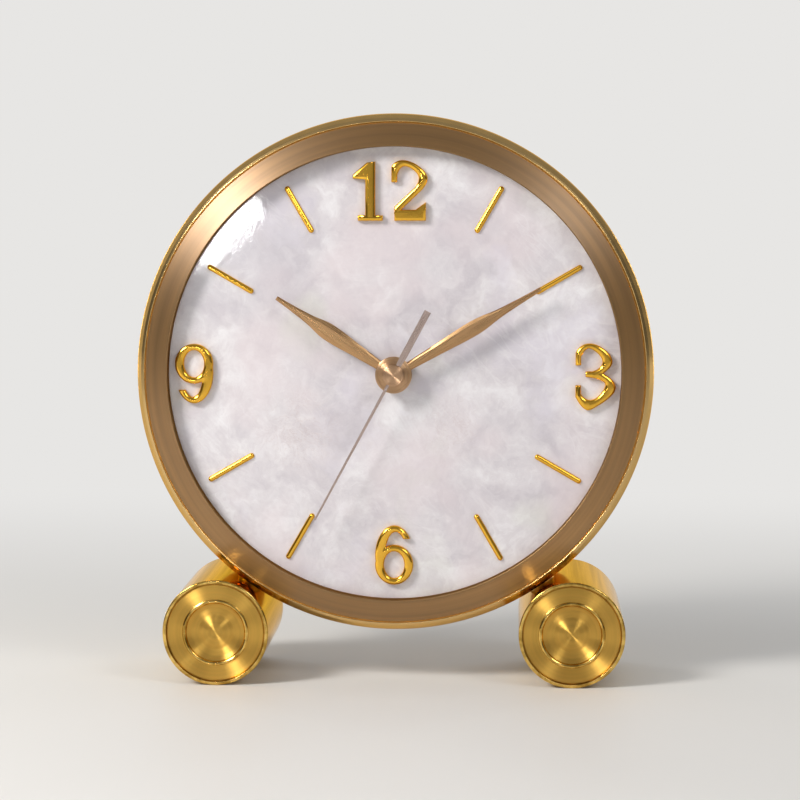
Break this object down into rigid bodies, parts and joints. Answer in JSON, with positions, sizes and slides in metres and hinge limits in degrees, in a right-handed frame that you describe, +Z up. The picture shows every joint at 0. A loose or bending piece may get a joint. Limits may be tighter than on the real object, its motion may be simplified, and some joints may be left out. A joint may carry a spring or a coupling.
{
  "type": "desk clock",
  "caption": "Round brass desk clock with a mother-of-pearl dial, raised gold numerals and bars, slim hands and a quartz movement, standing on drum-shaped feet.",
  "frame": {"origin": "centre of the bounding box at its base, where the two drum feet touch the table", "axes": "+Z up, -Y towards the viewer through the dial, +X to the right as the dial is read"},
  "size_m": [0.16, 0.05, 0.1762],
  "materials": {
    "bezel_brass": "circular satin brushed cone, polished outer round",
    "case_brass": "satin brushed",
    "pillar_brass": "turned",
    "screw_steel": "bright steel",
    "dial_plate_steel": "plain sheet",
    "dial_pearl": "lacquered mother-of-pearl, glossy",
    "numeral_gold": "polished gold plate",
    "hand_rose": "satin rose-champagne",
    "second_silver": "satin rose-silver",
    "hub_rose": "turned rose gold",
    "foot_brass": "polished",
    "foot_cap_brass": "turned face, circular satin",
    "movement_black": "moulded, fine texture",
    "plate_plastic": "moulded",
    "knob_plastic": "moulded",
    "gear_nylon": "moulded, natural",
    "magnet_grey": "bonded magnet",
    "gasket_rubber": "matt",
    "motor_iron": "annealed soft iron",
    "winding_copper": "enamelled copper wire",
    "board_green": "solder mask",
    "crystal_can": "drawn can",
    "chip_black": "potting",
    "battery_wrap": "plain sleeve",
    "contact_steel": "plated spring strip"
  },
  "bodies": {
    "clock_case": {"back_cover": "case_brass", "back_cover_screws": "screw_steel", "battery": "battery_wrap", "battery_contact_minus": "contact_steel", "battery_contact_plus": "contact_steel", "bezel_ring": "bezel_brass", "case_pillars": "pillar_brass", "centre_bushing": "pillar_brass", "circuit_board": "board_green", "clock_chip": "chip_black", "coil_bobbin": "gear_nylon", "coil_core": "motor_iron", "coil_winding": "winding_copper", "dial_pearl_disc": "dial_pearl", "dial_plate": "dial_plate_steel", "drum_shell": "case_brass", "foot_screws": "screw_steel", "foot_spacers": "pillar_brass", "front_flange": "case_brass", "hour_batons": "numeral_gold", "left_foot_front_cap": "foot_cap_brass", "left_foot_rear_cap": "foot_cap_brass", "left_foot_tube": "foot_brass", "middle_plate": "plate_plastic", "movement_back_case": "movement_black", "movement_front_case": "movement_black", "movement_gasket": "gasket_rubber", "movement_nut": "pillar_brass", "numeral_12": "numeral_gold", "numeral_3": "numeral_gold", "numeral_6": "numeral_gold", "numeral_9": "numeral_gold", "quartz_crystal": "crystal_can", "right_foot_front_cap": "foot_cap_brass", "right_foot_rear_cap": "foot_cap_brass", "right_foot_tube": "foot_brass", "stator": "motor_iron", "train_bridge": "plate_plastic"},
    "seconds": {"fourth_wheel": "gear_nylon", "second_hand": "second_silver", "second_hand_cap": "hub_rose"},
    "motor_rotor": {"rotor": "magnet_grey"},
    "fifth": {"fifth_wheel": "gear_nylon"},
    "third": {"third_wheel": "gear_nylon"},
    "centre": {"centre_wheel": "gear_nylon"},
    "minutes": {"cannon_pinion": "gear_nylon", "minute_hand": "hand_rose"},
    "minute_train": {"minute_wheel": "gear_nylon"},
    "hours": {"hour_wheel": "gear_nylon", "hour_hand": "hand_rose"},
    "knob": {"setting_knob": "knob_plastic"}
  },
  "joints": [
    {"name": "second_spin", "type": "hinge", "parent": "clock_case", "child": "seconds", "pos_m": [0, 0, 0.09616], "axis": [0, 1, 0], "continuous": true},
    {"name": "rotor_spin", "type": "hinge", "parent": "clock_case", "child": "motor_rotor", "pos_m": [0.0058, 0, 0.10621], "axis": [0, 1, 0], "continuous": true},
    {"name": "fifth_spin", "type": "hinge", "parent": "clock_case", "child": "fifth", "pos_m": [0.003, 0, 0.10136], "axis": [0, 1, 0], "continuous": true},
    {"name": "third_spin", "type": "hinge", "parent": "clock_case", "child": "third", "pos_m": [-0.00736, 0, 0.10041], "axis": [0, 1, 0], "continuous": true},
    {"name": "centre_spin", "type": "hinge", "parent": "clock_case", "child": "centre", "pos_m": [0, 0, 0.09616], "axis": [0, 1, 0], "continuous": true},
    {"name": "minute_spin", "type": "hinge", "parent": "clock_case", "child": "minutes", "pos_m": [0, 0, 0.09616], "axis": [0, 1, 0], "continuous": true},
    {"name": "minute_wheel_spin", "type": "hinge", "parent": "clock_case", "child": "minute_train", "pos_m": [0.0065, 0, 0.09241], "axis": [0, 1, 0], "continuous": true},
    {"name": "hour_spin", "type": "hinge", "parent": "clock_case", "child": "hours", "pos_m": [0, 0, 0.09616], "axis": [0, 1, 0], "continuous": true},
    {"name": "knob_spin", "type": "hinge", "parent": "clock_case", "child": "knob", "pos_m": [0.014, 0, 0.09241], "axis": [0, 1, 0], "continuous": true}
  ],
  "couplings": [
    {"joint": "fifth_spin", "follows": "second_spin", "ratio": -5},
    {"joint": "rotor_spin", "follows": "second_spin", "ratio": 30},
    {"joint": "third_spin", "follows": "second_spin", "ratio": -0.13333},
    {"joint": "centre_spin", "follows": "second_spin", "ratio": 0.016667},
    {"joint": "minute_wheel_spin", "follows": "minute_spin", "ratio": -0.33333},
    {"joint": "hour_spin", "follows": "minute_spin", "ratio": 0.083333},
    {"joint": "knob_spin", "follows": "minute_spin", "ratio": 1}
  ]
}
